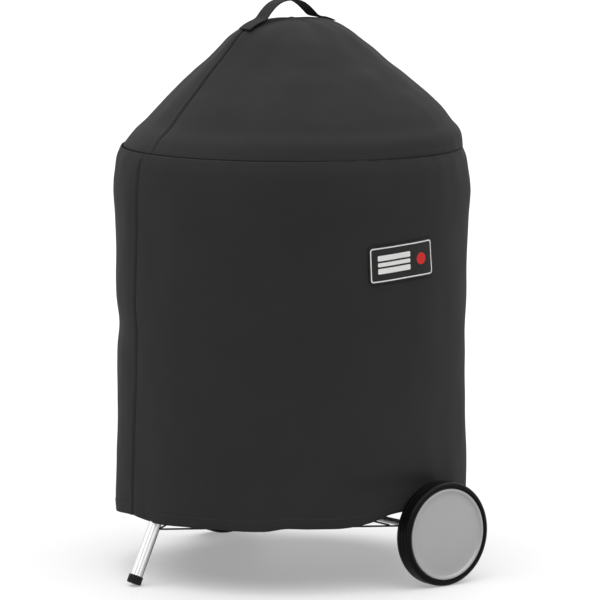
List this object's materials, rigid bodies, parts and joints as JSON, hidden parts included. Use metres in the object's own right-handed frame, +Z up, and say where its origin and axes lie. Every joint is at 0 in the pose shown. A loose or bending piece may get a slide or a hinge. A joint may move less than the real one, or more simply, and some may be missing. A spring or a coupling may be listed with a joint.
{
  "type": "kettle charcoal grill with cover",
  "caption": "Kettle charcoal grill on three splayed tube legs with two wheels, lid, grates, ash catcher and bottom rack, under a removable fitted fabric cover.",
  "frame": {"origin": "on the floor, below the middle of the whole object", "axes": "+Z up; -Y towards the user, who faces the cover's label; +X towards the two wheels and -X towards the single front leg"},
  "size_m": [0.7455, 0.7464, 1.124],
  "materials": {
    "black_enamel": "glossy porcelain enamel",
    "leg_aluminium": "bright drawn tube, fine lengthwise grooves",
    "plated_steel": "satin nickel plating",
    "black_wire": "semi-gloss powder coat",
    "black_nylon": "satin glass-filled nylon",
    "tyre_rubber": "satin black",
    "hubcap_grey": "satin mid grey",
    "bucket_aluminium": "matt spun",
    "cover_polyester": "matt woven, coated inside",
    "strap_webbing": "ribbed webbing",
    "label_patch": "woven label",
    "dial_white": "matt white print",
    "needle_red": "matt red",
    "gauge_glass": "clear"
  },
  "bodies": {
    "root": {"bowl": "black_enamel", "grate_bracket_1": "plated_steel", "grate_bracket_2": "plated_steel", "grate_bracket_3": "plated_steel", "grate_bracket_4": "plated_steel", "handle_plate_left": "plated_steel", "handle_plate_right": "plated_steel", "side_handle_left": "black_nylon", "side_handle_right": "black_nylon", "leg_front": "leg_aluminium", "leg_wheel_left": "leg_aluminium", "leg_wheel_right": "leg_aluminium", "leg_socket_front": "black_enamel", "leg_socket_wheel_left": "black_enamel", "leg_socket_wheel_right": "black_enamel", "foot_cap": "black_nylon", "axle_block_left": "black_nylon", "axle_block_right": "black_nylon", "axle": "plated_steel", "axle_nut_left": "plated_steel", "axle_nut_right": "plated_steel", "bottom_rack": "black_wire", "ash_collar": "bucket_aluminium"},
    "wheel_left": {"tyre_left": "tyre_rubber", "wheel_core_left": "black_nylon", "hubcap_left": "hubcap_grey"},
    "wheel_right": {"tyre_right": "tyre_rubber", "wheel_core_right": "black_nylon", "hubcap_right": "hubcap_grey"},
    "sweeper": {"ash_sweeper": "black_enamel", "sweeper_lever": "plated_steel", "lever_grip": "black_nylon"},
    "bucket": {"ash_bucket": "bucket_aluminium", "bucket_handle": "plated_steel"},
    "charcoal": {"charcoal_grate": "plated_steel"},
    "cooking": {"cooking_grate": "plated_steel"},
    "flap_left": {"grate_flap_left": "plated_steel"},
    "flap_right": {"grate_flap_right": "plated_steel"},
    "lid": {"lid": "black_enamel", "lid_handle": "black_nylon", "handle_bolt_1": "plated_steel", "handle_bolt_2": "plated_steel", "heat_shield": "plated_steel", "lid_hook": "plated_steel", "damper_rivet": "plated_steel", "thermometer_case": "plated_steel", "thermometer_dial": "dial_white", "thermometer_glass": "gauge_glass", "thermometer_bezel": "plated_steel"},
    "damper": {"lid_damper": "leg_aluminium"},
    "needle": {"thermometer_needle": "needle_red"},
    "cover": {"cover_cone": "cover_polyester", "cover_skirt": "cover_polyester", "cover_strap": "strap_webbing", "cover_label": "label_patch"}
  },
  "joints": [
    {"name": "wheel_left_spin", "type": "hinge", "parent": "root", "child": "wheel_left", "pos_m": [0.12139, 0.35448, 0.1015], "axis": [0, 1, 0], "continuous": true},
    {"name": "wheel_right_spin", "type": "hinge", "parent": "root", "child": "wheel_right", "pos_m": [0.12139, -0.35448, 0.1015], "axis": [0, 1, 0], "continuous": true},
    {"name": "sweeper_turn", "type": "hinge", "parent": "root", "child": "sweeper", "pos_m": [0.02499, 0, 0.52], "axis": [0, 0, 1], "range_deg": [0, 60]},
    {"name": "bucket_drop", "type": "slide", "parent": "root", "child": "bucket", "axis": [0, 0, -1], "range_m": [0, 0.14]},
    {"name": "charcoal_lift", "type": "slide", "parent": "root", "child": "charcoal", "axis": [0, 0, 1], "range_m": [0, 0.25]},
    {"name": "cooking_lift", "type": "slide", "parent": "charcoal", "child": "cooking", "axis": [0, 0, 1], "range_m": [0, 0.25]},
    {"name": "flap_left_open", "type": "hinge", "parent": "cooking", "child": "flap_left", "pos_m": [-0.10001, 0, 0.753], "axis": [0, 1, 0], "range_deg": [0, 90]},
    {"name": "flap_right_open", "type": "hinge", "parent": "cooking", "child": "flap_right", "pos_m": [0.14999, 0, 0.753], "axis": [0, -1, 0], "range_deg": [0, 90]},
    {"name": "lid_lift", "type": "slide", "parent": "cooking", "child": "lid", "axis": [0, 0, 1], "range_m": [0, 0.35]},
    {"name": "damper_turn", "type": "hinge", "parent": "lid", "child": "damper", "pos_m": [0.02499, 0.18319, 0.94098], "axis": [0, 0.5036, 0.8639], "range_deg": [0, 45]},
    {"name": "needle_turn", "type": "hinge", "parent": "lid", "child": "needle", "pos_m": [0.02499, -0.20501, 0.92684], "axis": [0, 0.584, -0.8118], "range_deg": [0, 240], "stiffness_Nm_per_rad": 0.0001},
    {"name": "cover_lift", "type": "slide", "parent": "lid", "child": "cover", "axis": [0, 0, 1], "range_m": [0, 1]}
  ]
}
